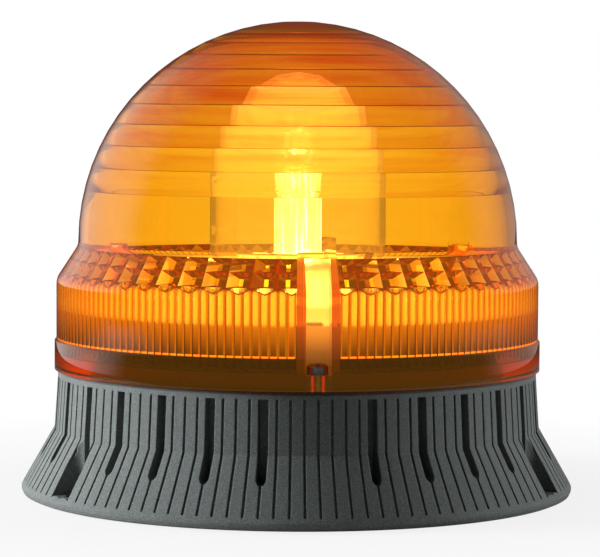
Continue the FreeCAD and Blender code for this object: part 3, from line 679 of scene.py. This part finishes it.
def panel_mask(world):
    """Soft-edged white panels to the left and right, a little behind the object."""
    coords = add_node(world, "ShaderNodeTexCoord").outputs["Generated"]
    flat = vector_node(world, "MULTIPLY", coords, (1.0, 1.0, 0.45))
    unit = vector_node(world, "NORMALIZE", flat.outputs["Vector"])
    masks = []
    for x, level in PANELS:
        along = vector_node(world, "DOT_PRODUCT", unit.outputs["Vector"], (x, 0.66, 0.05))
        ends = {"From_Min": 0.75, "From_Max": 0.95, "To_Max": level}
        mask = range_node(world, along.outputs["Value"], interpolation_type="SMOOTHSTEP", **ends)
        masks.append(mask)
    return math_node(world, "MAXIMUM", *masks)


def add_floor():
    """Pale floor, white to the camera, that keeps some of the object's shadow close to it."""
    edge = FLOOR_EDGE
    corners = [(-edge, -edge, 0), (edge, -edge, 0), (edge, edge, 0), (-edge, edge, 0)]
    data = bpy.data.meshes.new("floor")
    data.from_pydata(corners, [], [(0, 1, 2, 3)])
    floor = bpy.data.objects.new("floor", data)
    floor.location.z = -FLOOR_DROP
    scene.collection.objects.link(floor)
    paper = new_material("pale_paper", Roughness=0.9, Base_Color=(0.4, 0.4, 0.4, 1))
    light = add_node(paper, "ShaderNodeEmission", Strength=1.0)
    away = vector_node(paper, "LENGTH", place_coords(paper)).outputs["Value"]
    clear = range_node(paper, away, From_Min=0.075, From_Max=0.2, To_Min=0.85, To_Max=1.0)
    mix = add_node(paper, "ShaderNodeMixShader")
    link(paper, math_node(paper, "MULTIPLY", background_rays(paper), clear), mix.inputs["Fac"])
    link(paper, shader_of(paper).outputs["BSDF"], mix.inputs[1])
    link(paper, light.outputs["Emission"], mix.inputs[2])
    link(paper, mix.outputs["Shader"], output_of(paper).inputs["Surface"])
    data.materials.append(paper)


def add_world():
    """Dim room whose background shows white, a little darker overhead."""
    world = bpy.data.worlds.new("studio")
    scene.world = world
    world.use_nodes = True
    world.node_tree.nodes.clear()
    output = add_node(world, "ShaderNodeOutputWorld")
    parts = add_node(world, "ShaderNodeSeparateXYZ")
    coords = add_node(world, "ShaderNodeTexCoord")
    link(world, coords.outputs["Generated"], parts.inputs["Vector"])
    ends = {"From_Min": 0.2, "From_Max": 0.75, "To_Min": 1.0, "To_Max": 0.3}
    ceiling = range_node(world, parts.outputs["Z"], interpolation_type="SMOOTHSTEP", **ends)
    white = add_node(world, "ShaderNodeBackground", Color=(1, 1, 1, 1))
    link(world, ceiling, white.inputs["Strength"])
    room = add_node(world, "ShaderNodeBackground", Color=(1, 1, 1, 1), Strength=ROOM_LIGHT)
    mix = add_node(world, "ShaderNodeMixShader")
    link(world, background_rays(world, panel_mask(world)), mix.inputs["Fac"])
    link(world, room.outputs["Background"], mix.inputs[1])
    link(world, white.outputs["Background"], mix.inputs[2])
    link(world, mix.outputs["Shader"], output.inputs["Surface"])


def add_softbox(name, place, width, height, power):
    data = bpy.data.lights.new(name, "AREA")
    data.shape = "RECTANGLE"
    data.size = width
    data.size_y = height
    data.energy = power
    data.spread = math.radians(LAMP_SPREAD)
    lamp = bpy.data.objects.new(name, data)
    lamp.visible_glossy = False
    lamp.visible_transmission = False
    lamp.location = place
    lamp.rotation_euler = (Vector(LAMP_TARGET) - Vector(place)).to_track_quat("-Z", "Y").to_euler()
    scene.collection.objects.link(lamp)


def add_camera():
    """Camera at the photograph's viewing angle."""
    data = bpy.data.cameras.new("camera")
    data.lens = 148.6
    data.sensor_width = 36.0
    data.clip_start = 0.01
    camera = bpy.data.objects.new("camera", data)
    azimuth = math.radians(CAMERA_AZIMUTH)
    across, back = CAMERA_AWAY * math.sin(azimuth), CAMERA_AWAY * math.cos(azimuth)
    camera.location = (across, -back, CAMERA_HEIGHT)
    heading = Matrix.Rotation(azimuth - math.radians(CAMERA_YAW), 4, "Z")
    tilt = Matrix.Rotation(math.radians(90) + math.radians(CAMERA_PITCH), 4, "X")
    roll = Matrix.Rotation(math.radians(CAMERA_ROLL), 4, "Z")
    camera.rotation_euler = (heading @ tilt @ roll).to_euler()
    scene.collection.objects.link(camera)
    scene.camera = camera


build_lens()
dress_base()
dress_board()
dress_lamp()
add_floor()
add_world()
add_softbox("left_softbox", (-0.85, 0.02, 0.3), 0.3, 0.5, 3.3)
add_softbox("right_softbox", (0.72, 0.02, 0.22), 0.4, 0.5, 1.0)
add_camera()
scene.view_settings.view_transform = "Standard"
scene.cycles.max_bounces = 32
scene.cycles.transmission_bounces = 32
